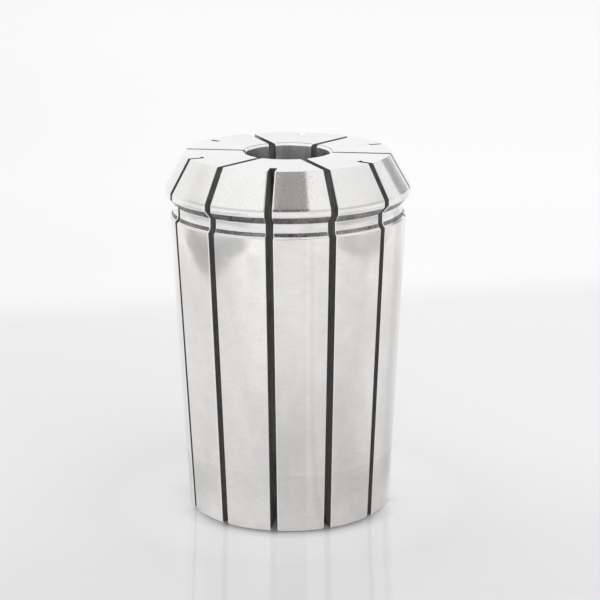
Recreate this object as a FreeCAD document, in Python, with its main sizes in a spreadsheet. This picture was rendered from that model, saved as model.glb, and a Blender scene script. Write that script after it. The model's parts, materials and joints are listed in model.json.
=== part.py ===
import FreeCAD, Part
import math
import os
import Sketcher

# A spring collet of size 25 with a 1:10 taper, for a 12 mm shank.
# It is one turned, slotted and ground piece of spring steel.
# Frame: the axis is +Z, the nose is up, and the origin is the middle of the tail face.
# +X and -Y each pass midway between a slot cut from the nose and one cut from the tail.

NODE = "spring_collet"

# A cut counts as whole when its volume is this near to the one worked out.
WHOLE_CUT = 0.01

# Millimetres, degrees or a count: name, value, meaning.
SIZES = [
    ("overall_length", 52.0, "tail face to nose face"),
    ("collar_diameter", 35.05, "largest diameter, at the collar's land"),
    ("nose_angle", 30.0, "from the axis to the nose cone"),
    ("nose_height", 4.9, "nose face down to the collar's land"),
    ("collar_land", 0.9, "height of the straight land"),
    ("underside_angle", 45.0, "from the axis to the collar's underside"),
    ("groove_depth", 1.125, "from the land in to the floor of the extraction groove"),
    ("groove_floor", 1.58, "height of the groove's floor"),
    ("groove_wall_angle", 45.0, "from the axis to the groove's lower wall"),
    ("body_step", 0.48, "from the groove's floor out to the large end of the taper"),
    ("taper_ratio", 10.0, "length of the taper for one unit of diameter"),
    ("bore_diameter", 12.0, "the shank that the collet holds"),
    ("bore_chamfer", 0.35, "at both mouths of the bore"),
    ("foot_chamfer", 0.3, "outer edge of the tail face"),
    ("rim_radius", 0.15, "outer edge of the nose face"),
    ("shoulder_radius", 1.0, "nose cone to land"),
    ("collar_radius", 0.4, "land to underside"),
    ("groove_top_radius", 0.35, "underside to groove floor"),
    ("groove_foot_radius", 0.7, "groove floor to its lower wall"),
    ("taper_edge_radius", 0.12, "groove's lower wall to the taper"),
    ("slot_count", 6, "slots cut from each end"),
    ("slot_width", 1.0, "thickness of the slitting saw"),
    ("saw_radius", 20.0, "radius of the slitting saw"),
    ("slit_length", 2.1, "how far a slot's run-out opens the end face, from its rim"),
    ("web_height", 6.5, "height on the bore's wall of the web past a slot's run-out"),
    ("saw_overrun", 2.0, "how far the saw's path stands clear of the blank"),
]


def make_sheet(doc):
    """The driving dimensions, one to a row, each with its alias."""
    sheet = doc.addObject("Spreadsheet::Sheet", "sizes")
    for row, (name, value, meaning) in enumerate(SIZES, start=1):
        sheet.set(f"A{row}", name)
        sheet.set(f"B{row}", str(value))
        sheet.set(f"C{row}", meaning)
        sheet.setAlias(f"B{row}", name)
    doc.recompute()
    return sheet


class Corners:
    """Radii and heights of the turned outline's corners, worked out from the sheet."""

    def __init__(self, sheet):
        self.length = sheet.overall_length
        self.bore = sheet.bore_diameter / 2
        self.collar = sheet.collar_diameter / 2
        self.groove = self.collar - sheet.groove_depth
        self.taper = self.groove + sheet.body_step
        self.rim = self.collar - sheet.nose_height * math.tan(math.radians(sheet.nose_angle))
        self.land_top = self.length - sheet.nose_height
        self.land_foot = self.land_top - sheet.collar_land
        undercut = sheet.groove_depth / math.tan(math.radians(sheet.underside_angle))
        self.floor_top = self.land_foot - undercut
        self.floor_foot = self.floor_top - sheet.groove_floor
        wall = sheet.body_step / math.tan(math.radians(sheet.groove_wall_angle))
        self.taper_top = self.floor_foot - wall
        self.foot = self.taper - self.taper_top / (2 * sheet.taper_ratio)


def origin_feature(body, role):
    """The body's own origin plane or axis with that role."""
    return next(f for f in body.Origin.OriginFeatures if f.Role == role)


def new_sketch(body, name, plane):
    sketch = body.newObject("Sketcher::SketchObject", name)
    sketch.AttachmentSupport = (origin_feature(body, plane), [""])
    sketch.MapMode = "FlatFace"
    return sketch


def turn_to_slot(sketch, sheet, from_nose):
    """Turns the sketch's plane to a slot beside +X, which itself lies midway between two slots."""
    quarter_turn = -90 if from_nose else 90
    about_axis = FreeCAD.Rotation(FreeCAD.Vector(0, 1, 0), quarter_turn / sheet.slot_count)
    sketch.AttachmentOffset = FreeCAD.Placement(FreeCAD.Vector(0, 0, 0), about_axis)
    sketch.setExpression("AttachmentOffset.Rotation.Angle", f"{quarter_turn} deg / sizes.slot_count")


def dimension(sketch, name, constraint, expression):
    """Adds a named dimension to the sketch and ties it to an expression."""
    index = sketch.addConstraint(constraint)
    sketch.renameConstraint(index, name)
    sketch.setExpression(f"Constraints.{name}", expression)


def reference(sketch, name, constraint):
    """Adds a named dimension that only measures, for other expressions to read."""
    index = sketch.addConstraint(constraint)
    sketch.setDriving(index, False)
    sketch.renameConstraint(index, name)


def turned_blank(doc, body, sheet, at):
    """The solid bar turned to the collet's outline, still without its bore."""
    sketch = new_sketch(body, "turned_outline", "XZ_Plane")
    turn_to_slot(sketch, sheet, from_nose=True)
    points = [
        (0, 0),
        (at.foot, 0),
        (at.taper, at.taper_top),
        (at.groove, at.floor_foot),
        (at.groove, at.floor_top),
        (at.collar, at.land_foot),
        (at.collar, at.land_top),
        (at.rim, at.length),
        (0, at.length),
    ]
    tail, taper, wall, floor, underside, land, nose, face, axis = range(len(points))
    for i, point in enumerate(points):
        start = FreeCAD.Vector(*point, 0)
        end = FreeCAD.Vector(*points[(i + 1) % len(points)], 0)
        sketch.addGeometry(Part.LineSegment(start, end), False)
    for i in range(len(points)):
        sketch.addConstraint(Sketcher.Constraint("Coincident", i, 2, (i + 1) % len(points), 1))
    sketch.addConstraint(Sketcher.Constraint("Coincident", tail, 1, -1, 1))
    for line in (tail, face):
        sketch.addConstraint(Sketcher.Constraint("Horizontal", line))
    for line in (floor, land, axis):
        sketch.addConstraint(Sketcher.Constraint("Vertical", line))

    def radius(name, line, expression):
        value = points[line][0]
        dimension(sketch, name, Sketcher.Constraint("DistanceX", -1, 1, line, 1, value), expression)

    def height(name, line, expression):
        value = points[line + 1][1] - points[line][1]
        dimension(sketch, name, Sketcher.Constraint("DistanceY", line, 1, line, 2, value), expression)

    def slope(name, line, expression):
        rise = points[line + 1][1] - points[line][1]
        run = points[line + 1][0] - points[line][0]
        dimension(sketch, name, Sketcher.Constraint("Angle", line, math.atan2(rise, run)), expression)

    radius("collar", land, "sizes.collar_diameter / 2")
    radius("groove", floor, "sizes.collar_diameter / 2 - sizes.groove_depth")
    radius("taper_end", wall, "sizes.collar_diameter / 2 - sizes.groove_depth + sizes.body_step")
    dimension(
        sketch,
        "length",
        Sketcher.Constraint("DistanceY", -1, 1, axis, 1, at.length),
        "sizes.overall_length",
    )
    height("nose_height", nose, "sizes.nose_height")
    height("land_height", land, "sizes.collar_land")
    height("floor_height", floor, "sizes.groove_floor")
    slope("taper_slope", taper, "90 deg - atan(1 / (2 * sizes.taper_ratio))")
    slope("wall_slope", wall, "90 deg + sizes.groove_wall_angle * 1 deg")
    slope("underside_slope", underside, "90 deg - sizes.underside_angle * 1 deg")
    slope("nose_slope", nose, "90 deg + sizes.nose_angle * 1 deg")
    reference(sketch, "foot", Sketcher.Constraint("DistanceX", -1, 1, taper, 1, at.foot))
    reference(sketch, "rim", Sketcher.Constraint("DistanceX", -1, 1, face, 1, at.rim))

    blank = body.newObject("PartDesign::Revolution", "turned_blank")
    blank.Profile = (sketch, [""])
    blank.ReferenceAxis = (sketch, ["V_Axis"])
    blank.Angle = 360
    doc.recompute()
    return blank


def ring_edges(shape, radius, height):
    """Names of the full circles round the axis at that radius and height."""
    names = []
    for number, edge in enumerate(shape.Edges, start=1):
        curve = edge.Curve
        if not isinstance(curve, Part.Circle):
            continue
        middle = curve.Center
        on_axis = math.hypot(middle.x, middle.y) < 1e-4
        if on_axis and abs(middle.z - height) < 1e-4 and abs(curve.Radius - radius) < 1e-4:
            names.append(f"Edge{number}")
    return names


def dressed(doc, body, base, kind, name, corners, cell):
    """A Fillet or Chamfer on the ring edges at the given corners, sized by a cell."""
    edges = [e for corner in corners for e in ring_edges(base.Shape, *corner)]
    if len(edges) != len(corners):
        raise RuntimeError(f"{name}: found {len(edges)} of {len(corners)} edges")
    feature = body.newObject(f"PartDesign::{kind}", name)
    feature.Base = (base, edges)
    feature.setExpression("Radius" if kind == "Fillet" else "Size", f"sizes.{cell}")
    doc.recompute()
    return feature


def cut_volume(before, after):
    """What a cut took away. A cut that points away from the solid takes nothing."""
    volume = before.Shape.Volume - after.Shape.Volume
    if volume <= 0:
        raise RuntimeError(f"{after.Name} cuts nothing")
    return volume


def bored(doc, body, sheet, at, solid):
    """The bore for the shank, right through."""
    sketch = new_sketch(body, "bore_outline", "XY_Plane")
    circle = Part.Circle(FreeCAD.Vector(0, 0, 0), FreeCAD.Vector(0, 0, 1), at.bore)
    sketch.addGeometry(circle, False)
    sketch.addConstraint(Sketcher.Constraint("Coincident", 0, 3, -1, 1))
    dimension(
        sketch,
        "bore",
        Sketcher.Constraint("Diameter", 0, sheet.bore_diameter),
        "sizes.bore_diameter",
    )
    bore = body.newObject("PartDesign::Pocket", "bore")
    bore.Profile = (sketch, [""])
    bore.Type = "ThroughAll"
    bore.Reversed = True
    doc.recompute()
    whole = math.pi * at.bore ** 2 * at.length
    if abs(cut_volume(solid, bore) - whole) > WHOLE_CUT * whole:
        raise RuntimeError("the bore stops short")
    return bore


def saw_centre(sheet, at, rim, end, inward):
    """Middle of the saw when it stops: its edge passes through the slit's end and the web's foot."""
    slit = FreeCAD.Vector(rim - sheet.slit_length, end, 0)
    foot = FreeCAD.Vector(at.bore, end + inward * sheet.web_height, 0)
    middle = (slit + foot) / 2
    across = FreeCAD.Vector(sheet.web_height, inward * (slit.x - foot.x), 0).normalize()
    half = slit.distanceToPoint(foot) / 2
    return middle + across * math.sqrt(sheet.saw_radius ** 2 - half ** 2)


def slots(doc, body, sheet, at, solid, name, from_nose):
    """Radial slots sawn from one end. Each stops at a web by the bore, at the other end."""
    rim = at.foot if from_nose else at.rim
    end = 0.0 if from_nose else at.length
    inward = 1 if from_nose else -1
    centre = saw_centre(sheet, at, rim, end, inward)
    inner = centre.x - sheet.saw_radius
    outer = at.collar + sheet.saw_overrun
    start = at.length + sheet.saw_overrun if from_nose else -sheet.saw_overrun
    stop = centre.y - inward * math.sqrt(sheet.saw_radius ** 2 - (outer - centre.x) ** 2)

    sketch = new_sketch(body, f"{name}_path", "XZ_Plane")
    corners = [
        FreeCAD.Vector(outer, stop, 0),
        FreeCAD.Vector(outer, start, 0),
        FreeCAD.Vector(inner, start, 0),
        FreeCAD.Vector(inner, centre.y, 0),
    ]
    outside, entry, bottom = range(3)
    for first, second in zip(corners, corners[1:]):
        sketch.addGeometry(Part.LineSegment(first, second), False)
    turn = math.atan2(stop - centre.y, outer - centre.x)
    angles = (math.pi, turn + 2 * math.pi) if from_nose else (turn, math.pi)
    circle = Part.Circle(centre, FreeCAD.Vector(0, 0, 1), sheet.saw_radius)
    run_out = sketch.addGeometry(Part.ArcOfCircle(circle, *angles), False)
    arc_start, arc_end = (1, 2) if from_nose else (2, 1)
    sketch.addConstraint(Sketcher.Constraint("Coincident", outside, 2, entry, 1))
    sketch.addConstraint(Sketcher.Constraint("Coincident", entry, 2, bottom, 1))
    sketch.addConstraint(Sketcher.Constraint("Tangent", bottom, 2, run_out, arc_start))
    sketch.addConstraint(Sketcher.Constraint("Coincident", run_out, arc_end, outside, 1))
    sketch.addConstraint(Sketcher.Constraint("Vertical", outside))
    sketch.addConstraint(Sketcher.Constraint("Horizontal", entry))
    sketch.addConstraint(Sketcher.Constraint("Vertical", bottom))
    dimension(
        sketch,
        "saw",
        Sketcher.Constraint("Radius", run_out, sheet.saw_radius),
        "sizes.saw_radius",
    )
    dimension(
        sketch,
        "clear_of_collar",
        Sketcher.Constraint("DistanceX", -1, 1, outside, 1, outer),
        "sizes.collar_diameter / 2 + sizes.saw_overrun",
    )
    if from_nose:
        begin = Sketcher.Constraint("DistanceY", -1, 1, outside, 2, start)
        dimension(sketch, "clear_of_end", begin, "sizes.overall_length + sizes.saw_overrun")
    else:
        begin = Sketcher.Constraint("DistanceY", outside, 2, -1, 1, -start)
        dimension(sketch, "clear_of_end", begin, "sizes.saw_overrun")

    slit_end = sketch.addGeometry(Part.Point(FreeCAD.Vector(rim - sheet.slit_length, end, 0)), True)
    web_foot = sketch.addGeometry(
        Part.Point(FreeCAD.Vector(at.bore, end + inward * sheet.web_height, 0)), True
    )
    sketch.addConstraint(Sketcher.Constraint("PointOnObject", slit_end, 1, run_out))
    sketch.addConstraint(Sketcher.Constraint("PointOnObject", web_foot, 1, run_out))
    reach = "foot" if from_nose else "rim"
    dimension(
        sketch,
        "slit_end",
        Sketcher.Constraint("DistanceX", -1, 1, slit_end, 1, rim - sheet.slit_length),
        f"turned_outline.Constraints.{reach} - sizes.slit_length * 1 mm",
    )
    dimension(
        sketch,
        "web_radius",
        Sketcher.Constraint("DistanceX", -1, 1, web_foot, 1, at.bore),
        "sizes.bore_diameter / 2",
    )
    if from_nose:
        sketch.addConstraint(Sketcher.Constraint("PointOnObject", slit_end, 1, -1))
        foot = Sketcher.Constraint("DistanceY", -1, 1, web_foot, 1, sheet.web_height)
        dimension(sketch, "web", foot, "sizes.web_height")
    else:
        face = Sketcher.Constraint("DistanceY", -1, 1, slit_end, 1, at.length)
        dimension(sketch, "face", face, "sizes.overall_length")
        foot = Sketcher.Constraint("DistanceY", web_foot, 1, slit_end, 1, sheet.web_height)
        dimension(sketch, "web", foot, "sizes.web_height")
    turn_to_slot(sketch, sheet, from_nose)
    doc.recompute()

    slot = body.newObject("PartDesign::Pocket", f"{name}_slot")
    slot.Profile = (sketch, [""])
    slot.Type = "Length"
    slot.SideType = "Symmetric"
    slot.setExpression("Length", "sizes.slot_width")
    doc.recompute()
    ring = body.newObject("PartDesign::PolarPattern", f"{name}_slots")
    ring.Originals = [slot]
    ring.Axis = (origin_feature(body, "Z_Axis"), [""])
    ring.Angle = 360
    ring.setExpression("Occurrences", "sizes.slot_count")
    body.Tip = ring
    doc.recompute()
    all_slots = cut_volume(solid, slot) * sheet.slot_count
    if abs(cut_volume(solid, ring) - all_slots) > WHOLE_CUT * all_slots:
        raise RuntimeError(f"some of the {name} slots are missing")
    return ring


def make_collet(doc, sheet):
    """The whole collet: turned, bored, dressed and slotted from both ends."""
    at = Corners(sheet)
    body = doc.addObject("PartDesign::Body", NODE)
    body.Label = NODE
    feature = turned_blank(doc, body, sheet, at)
    for name, corner, cell in (
        ("rim_fillet", (at.rim, at.length), "rim_radius"),
        ("shoulder_fillet", (at.collar, at.land_top), "shoulder_radius"),
        ("collar_fillet", (at.collar, at.land_foot), "collar_radius"),
        ("groove_top_fillet", (at.groove, at.floor_top), "groove_top_radius"),
        ("groove_foot_fillet", (at.groove, at.floor_foot), "groove_foot_radius"),
        ("taper_edge_fillet", (at.taper, at.taper_top), "taper_edge_radius"),
    ):
        feature = dressed(doc, body, feature, "Fillet", name, [corner], cell)
    feature = dressed(doc, body, feature, "Chamfer", "foot_chamfer", [(at.foot, 0.0)], "foot_chamfer")
    feature = bored(doc, body, sheet, at, feature)
    mouths = [(at.bore, 0.0), (at.bore, at.length)]
    feature = dressed(doc, body, feature, "Chamfer", "bore_chamfers", mouths, "bore_chamfer")
    feature = slots(doc, body, sheet, at, feature, "nose", from_nose=True)
    slots(doc, body, sheet, at, feature, "tail", from_nose=False)
    return body


def check(doc, parts):
    """Stops before anything is written if a feature failed or a solid is not sound."""
    for item in doc.Objects:
        if "Invalid" in item.State or "Error" in item.State:
            raise RuntimeError(f"{item.Name} failed: {item.State}")
    for part in parts:
        shape = part.Shape
        if shape.isNull() or not shape.isValid() or len(shape.Solids) != 1:
            raise RuntimeError(f"{part.Label} is not one sound solid")


def main():
    doc = FreeCAD.newDocument("collet")
    sheet = make_sheet(doc)
    collet = make_collet(doc, sheet)
    doc.recompute()
    check(doc, [collet])
    os.makedirs("parts", exist_ok=True)
    collet.Shape.exportStep(f"parts/{collet.Label}.step")
    box = collet.Shape.optimalBoundingBox()
    print(f"{collet.Label}: {box.XLength:.3f} x {box.YLength:.3f} x {box.ZLength:.3f} mm")
    print(f"volume {collet.Shape.Volume:.1f} mm3, faces {len(collet.Shape.Faces)}")


main()
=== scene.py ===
import json
import math

import bmesh
import bpy
from bpy.props import FloatProperty, FloatVectorProperty, IntProperty, PointerProperty
from mathutils import Matrix, Vector


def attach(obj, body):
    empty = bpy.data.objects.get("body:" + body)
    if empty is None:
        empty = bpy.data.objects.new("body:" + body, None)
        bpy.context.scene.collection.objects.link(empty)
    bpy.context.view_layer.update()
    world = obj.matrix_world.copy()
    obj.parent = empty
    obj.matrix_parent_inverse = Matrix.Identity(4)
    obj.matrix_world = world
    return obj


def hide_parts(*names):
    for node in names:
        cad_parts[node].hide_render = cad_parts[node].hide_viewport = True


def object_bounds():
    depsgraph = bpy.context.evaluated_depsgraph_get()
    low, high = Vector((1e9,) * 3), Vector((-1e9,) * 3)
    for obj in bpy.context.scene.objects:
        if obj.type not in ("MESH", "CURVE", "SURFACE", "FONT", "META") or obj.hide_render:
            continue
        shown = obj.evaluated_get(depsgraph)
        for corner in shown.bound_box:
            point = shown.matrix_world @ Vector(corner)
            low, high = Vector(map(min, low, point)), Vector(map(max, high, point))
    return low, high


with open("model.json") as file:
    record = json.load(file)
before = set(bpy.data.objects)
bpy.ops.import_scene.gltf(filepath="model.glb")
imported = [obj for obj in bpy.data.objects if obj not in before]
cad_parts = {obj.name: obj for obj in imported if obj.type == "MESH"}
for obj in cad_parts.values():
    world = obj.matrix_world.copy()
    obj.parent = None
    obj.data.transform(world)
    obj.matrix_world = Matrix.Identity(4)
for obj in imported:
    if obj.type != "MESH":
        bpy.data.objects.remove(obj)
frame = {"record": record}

# Looks of a spring collet: a turned, ground and slotted sleeve of spring steel.
# Everything is in metres. The axis is +Z, the nose is up and the tail stands on the floor.

bl_info = {
    "name": "Spring collet",
    "version": (1, 0, 0),
    "blender": (4, 5, 0),
    "location": "3D View > Sidebar > Collet",
    "description": "Builds a slotted spring collet with ground steel finishes",
    "category": "Add Mesh",
}

NODE = "spring_collet"
MM = 0.001
CAD_LOW, CAD_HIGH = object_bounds()
MIDDLE = Vector((0.0, 0.0, (CAD_LOW.z + CAD_HIGH.z) / 2))
MOUNTS = {mount["name"]: mount for mount in frame["record"]["mounts"]}
BLACK, WHITE = (0.0, 0.0, 0.0), (1.0, 1.0, 1.0)


def length(name, description, default):
    """A length property, in metres."""
    return FloatProperty(
        name=name, description=description, default=default, min=0.0, unit="LENGTH", precision=5
    )


def degrees(name, description, default):
    """An angle property, given in degrees and kept in radians."""
    return FloatProperty(
        name=name, description=description, default=math.radians(default), unit="ROTATION"
    )


def colour(name, description, default):
    return FloatVectorProperty(
        name=name, description=description, default=default, min=0.0, max=1.0, subtype="COLOR"
    )


def amount(name, description, default, top=1.0):
    return FloatProperty(name=name, description=description, default=default, min=0.0, max=top)


class ColletSizes(bpy.types.PropertyGroup):
    """The collet's own sizes, as it is turned, bored and slotted"""

    overall_length: length("Overall length", "Tail face to nose face", CAD_HIGH.z - CAD_LOW.z)
    collar_diameter: length("Collar diameter", "Largest diameter, at the land", 35.05 * MM)
    nose_angle: degrees("Nose angle", "From the axis to the nose cone", 30.0)
    nose_height: length("Nose height", "Nose face down to the land", 4.9 * MM)
    collar_land: length("Collar land", "Height of the straight land", 0.9 * MM)
    underside_angle: degrees("Underside angle", "From the axis to the collar's underside", 45.0)
    groove_depth: length("Groove depth", "From the land in to the groove's floor", 1.125 * MM)
    groove_floor: length("Groove floor", "Height of the groove's floor", 1.58 * MM)
    groove_wall_angle: degrees("Groove wall angle", "From the axis to the lower wall", 45.0)
    body_step: length("Body step", "From the groove's floor out to the taper", 0.48 * MM)
    taper_ratio: FloatProperty(
        name="Taper ratio", description="Length of the taper for one unit of diameter", default=10.0
    )
    bore_diameter: length(
        "Bore diameter", "The shank it holds", 2 * MOUNTS["tool_bore"]["dims"]["r_mm"] * MM
    )
    bore_chamfer: length("Bore chamfer", "At both mouths of the bore", 0.35 * MM)
    foot_chamfer: length("Foot chamfer", "Outer edge of the tail face", 0.3 * MM)
    chamfer_edge: length("Chamfer edge", "Rounding where a chamfer meets a face", 0.13 * MM)
    rim_radius: length("Rim radius", "Outer edge of the nose face", 0.15 * MM)
    shoulder_radius: length("Shoulder radius", "Nose cone to land", 1.0 * MM)
    collar_radius: length("Collar radius", "Land to underside", 0.4 * MM)
    groove_top_radius: length("Groove top radius", "Underside to groove floor", 0.35 * MM)
    groove_foot_radius: length("Groove foot radius", "Groove floor to lower wall", 0.7 * MM)
    taper_edge_radius: length("Taper edge radius", "Lower wall to taper", 0.12 * MM)
    slot_count: IntProperty(name="Slots", description="Slots from each end", default=6, min=2)
    slot_width: length("Slot width", "Thickness of the slitting saw", 1.0 * MM)
    saw_radius: length("Saw radius", "Radius of the slitting saw", 20.0 * MM)
    slit_length: length("Slit length", "How far a run-out opens the end face", 2.1 * MM)
    web_height: length("Web height", "Web on the bore's wall past a run-out", 6.5 * MM)
    edge_break: length("Edge break", "Rounding of every edge of a slot", 0.11 * MM)


class ColletFinish(bpy.types.PropertyGroup):
    """Colours and finishes of the steel"""

    steel: colour("Steel", "Ground spring steel", (0.955, 0.951, 0.946))
    skin: colour("Skin", "Grey hardening skin, where no wheel reaches", (0.6, 0.592, 0.578))
    oxide: colour("Oxide", "Dark skin of the slots, near their outer edges", (0.135, 0.133, 0.129))
    # Deep in the slots the colour is made paler as painted light, over the sawn steel.
    sawn_and_lit: colour("Sawn steel", "Sawn steel, deep in the slots", (0.82, 0.805, 0.78))
    cone_roughness: amount("Cone roughness", "Roughness of the ground cone, land and groove", 0.055)
    taper_roughness: amount("Taper roughness", "Roughness of the ground taper", 0.085)
    face_roughness: amount("Face roughness", "Roughness of the ground end faces", 0.24)
    skin_roughness: amount("Skin roughness", "Roughness of the hardening skin", 0.42)
    bore_roughness: amount("Bore roughness", "Roughness of the ground bore", 0.3)


class ColletStage(bpy.types.PropertyGroup):
    """The floor, the light and the camera"""

    # The change of the board's tone from near to far is painted light and shade.
    board_near: colour("Board, near", "Glossy board, at its front", (0.775, 0.775, 0.778))
    board_far: colour("Board, far", "Glossy board, at its back edge", (0.868, 0.868, 0.87))
    backdrop: colour("Backdrop", "White surface round the board", (0.985, 0.985, 0.987))
    board_half: length("Board half width", "From the collet's axis to the board's edges", 0.1143)
    board_turn: degrees("Board turn", "Turn of the board on the floor", 3.66)
    camera_azimuth: degrees("Camera azimuth", "Round from the front, to the right", -6.21)
    camera_elevation: degrees("Camera elevation", "Above the middle of the collet", 15.88)
    camera_distance: length("Camera distance", "To the middle of the collet", 0.2897)
    camera_focal: FloatProperty(
        name="Focal length", description="In pixels of the 600 pixel frame", default=1994.17
    )
    camera_pan: degrees("Camera pan", "Turn of the aim to the right", 0.333)
    camera_tilt: degrees("Camera tilt", "Turn of the aim, up", 0.775)
    camera_roll: degrees("Camera roll", "Turn about the aim", -0.352)
    sky: amount("Sky", "Strength of the even white surroundings", 0.96, 5.0)


# The collet's outline: its zones of finish, and how finely it is divided

FACE, CONE, GROOVE, SKIN, TAPER, CHAMFER, BORE, SLOT, RUN_OUT = range(9)
ARC_STEP = math.radians(9.0)
TAPER_ROWS = 14
PLAIN_ROWS = 4
LAMELLA_COLUMNS = 14
SLOT_COLUMNS = 4
RUN_OUT_ROWS = 14
BREAK_STEPS = 3
BREAK_FADE = 0.5 * MM
GUARD = 0.07 * MM
OWN_SHARE = 0.95
ROW_ROOM = 0.3
ON_OUTLINE = 0.001 * MM
SEAM = 0.002 * MM
SHARP_EDGE = math.radians(40.0)

# Finishes. A range is the part of a noise that is spread over the whole of a mask.

ACROSS_CONE = 0.7
BROAD_LINES = 0.22
LINE_RANGE = (0.38, 0.62)
GRAIN_SCALE = 3800.0
GRAIN_RANGE = (0.3, 0.7)
GRAIN_POWER = 3.0
CLOUD_RANGE = (0.32, 0.68)
RUB_FINER = 3.1
RUB_RANGE = (0.58, 0.72)
WEAR_SCALE = 1500.0
WEAR_EDGE = 0.25
SAW_SCALE = 2500.0
SAW_RANGE = (0.3, 0.7)
SAW_TONES = (0.75, 1.25)
SAW_ROUGHNESS = (0.12, 0.25)
SAW_BUMP = 0.3
BUMP_DEPTH = 0.01 * MM
BUMP_STRENGTH = 0.12
QUARTER_TURN = 0.25
EDGE_LIFT = 1.1
CLEAN_ROUGHNESS = 0.8
CLOUD_ROUGHNESS = 0.35
RUB_ROUGHNESS = 0.5
RUN_OUT_ROUGHNESS = 0.6
BORE_SHADE = 0.8
WARM = (1.0, 0.99, 0.984)
COOL = (0.992, 0.997, 1.0)
ROSY = (1.0, 0.962, 0.938)
PALE = (1.0, 0.995, 0.988)
TINT_SCALE = 75.0
TINT_RANGE = (0.35, 0.65)
SCRATCH_PATCH_SCALE = 170.0
SCRATCH_PATCH_EDGE = 0.66
SCRATCH_RANGE = (0.64, 0.72)
SCRATCH_LENGTHWAYS = 260.0
SCRATCH_SCALE = 5200.0
SCRATCH_WAYS = ((0.25, 0.1), (-0.6, 0.35), (0.1, -0.9))
SLOT_DARK = 0.45 * MM
SLOT_LIGHT = 4.2 * MM
# Painted shade: the taper darkens from the first height down to the band at its foot.
FOOT_FADE = 24.0 * MM
FOOT_PAINTED_SHADE = 0.055
FOOT_BAND = 8.7 * MM
FOOT_BAND_DARK = 0.03
SEAT_MARK_WIDTH = 0.25 * MM
SEAT_MARK_LIGHT = 0.035
SEAT_MARK_SCALE = 120.0
SEAT_MARK_RANGE = (0.4, 0.6)

# The floor. Along the board from front to back, and outwards from its edge, each stop is
# a place and a share of the board's far tone, or of the backdrop. The tones along the board
# are painted light and shade: darkest a little in front of the collet, lighter towards its
# front and back.

FLOOR_HALF = 1.5
FLOOR_DROP = -0.02 * MM
FLOOR_GLOSS = 0.08
FLOOR_SHEEN = 0.25
BOARD_TONES = (
    (-0.114, 2.8), (-0.090, 2.0), (-0.070, 1.6), (-0.055, 0.8), (-0.043, 0.0), (-0.022, 0.33),
    (-0.010, 0.67), (0.000, 0.80), (0.014, 0.98), (0.028, 0.99), (0.044, 0.91), (0.060, 0.855),
    (0.080, 0.84), (0.100, 0.88), (0.114, 1.0),
)
EDGE_TONES = (
    (-0.012, 0.0), (-0.005, 0.23), (0.000, 0.49), (0.003, 0.62), (0.008, 0.75), (0.015, 0.87),
    (0.050, 0.86), (0.100, 0.97), (0.250, 1.0),
)
# Painted light: the board is lighter on its right side than on its left, by this much.
BOARD_LIGHT_TILT = 0.022
TILT_REACH = 0.035

# Light on the floor near the foot, and the shade where the foot touches it. Contact stops
# are a radius and a brightness, and the shade comes in between two distances to the front.

FOOT_LIGHT = 0.14
FOOT_LIGHT_REACH = (0.0165, 0.027)
CONTACT_TONES = (
    (0.0137, 0.90), (0.0143, 0.50), (0.0151, 0.54), (0.0156, 0.78), (0.0162, 0.88),
    (0.0168, 0.95), (0.0174, 1.0),
)
CONTACT_FRONT = (-0.004, -0.0115)

# What the bright steel mirrors in the floor. A spot is how far right and ahead it lies, its
# half width, its half depth and its strength.

SPOT_CORE = 0.2
FRONT_LIGHT = (0.0, -0.020, 0.018, 0.020, 0.07)
STEEL_LIGHTS = (
    (0.004, -0.134, 0.034, 0.020, 0.09),
    (0.019, -0.032, 0.016, 0.016, 0.09),
    (0.055, -0.100, 0.034, 0.034, -0.07),
    (-0.070, -0.109, 0.024, 0.018, -0.15),
    (-0.083, -0.052, 0.020, 0.016, 0.07),
    (-0.022, 0.002, 0.009, 0.020, -0.13),
    (0.024, 0.000, 0.009, 0.020, -0.12),
)

# Painted shade beside the board, seen only in the steel's reflections: which way in degrees,
# how far to the near edge, half of its length, and how dark.

SIDE_SHADES = (
    (194.5, 0.1221, 0.085, 0.52),
    (-13.0, 0.1326, 0.065, 0.38),
)
SHADE_EDGE = 0.0015
SHADE_FADE = 0.040

# Brightness round the collet, by degrees from the camera's side to its right, of the
# surroundings and of the floor, and of the floor beyond the board.

SKY_ROUND = (
    (-180.0, 1.0), (-114.0, 0.99), (-60.0, 1.06), (-34.0, 1.08), (0.0, 1.03), (35.0, 1.0),
    (88.0, 0.92), (180.0, 1.0),
)
FLOOR_ROUND = (
    (-115.0, 1.02), (-85.0, 1.02), (-50.0, 1.14), (-22.0, 1.03), (-10.0, 0.965), (16.7, 0.965),
    (18.7, 0.92), (21.0, 0.85), (22.6, 0.85), (24.5, 0.92), (50.0, 0.86), (69.0, 0.95),
    (84.0, 1.03), (100.0, 0.98), (116.0, 0.90), (150.0, 0.92),
)
LIGHT_TOP = 1.25
BEYOND_REACH = (0.135, 0.155)
BEYOND_LIGHT = 1.08

# The greyer band low down, which fades out between two heights and towards the back

LOW_BAND = 0.72
LOW_BAND_TOP = math.radians(30.0)
LOW_BAND_FOOT = math.radians(16.0)
LOW_BAND_BACK = (0.45, 0.2)

# Panels: azimuth, lowest and highest elevation and half width in degrees, and colour

FLAG_DISTANCE = 0.6
FLAG_SCALE = 55.0
FLAG_RANGE = (0.35, 0.65)
FLAG_UNEVEN = 0.15
FLAG_ROUGHNESS = 0.9
FLAGS = (
    ("flag_above_camera", 3.85, 43.0, 58.0, 19.85, (0.382, 0.364, 0.36)),
    ("flag_at_camera", 1.6, 8.0, 43.0, 17.9, (0.165, 0.158, 0.155)),
    ("flag_beside", 134.9, 2.0, 26.0, 6.6, (0.505, 0.5, 0.508)),
    ("flag_beside_edge", 144.5, 2.0, 26.0, 3.0, (0.625, 0.62, 0.628)),
)

# The lamp: azimuth, elevation, distance, side and power

LAMP = (math.radians(35.0), math.radians(55.0), 0.8, 0.6, 0.6)

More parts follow.
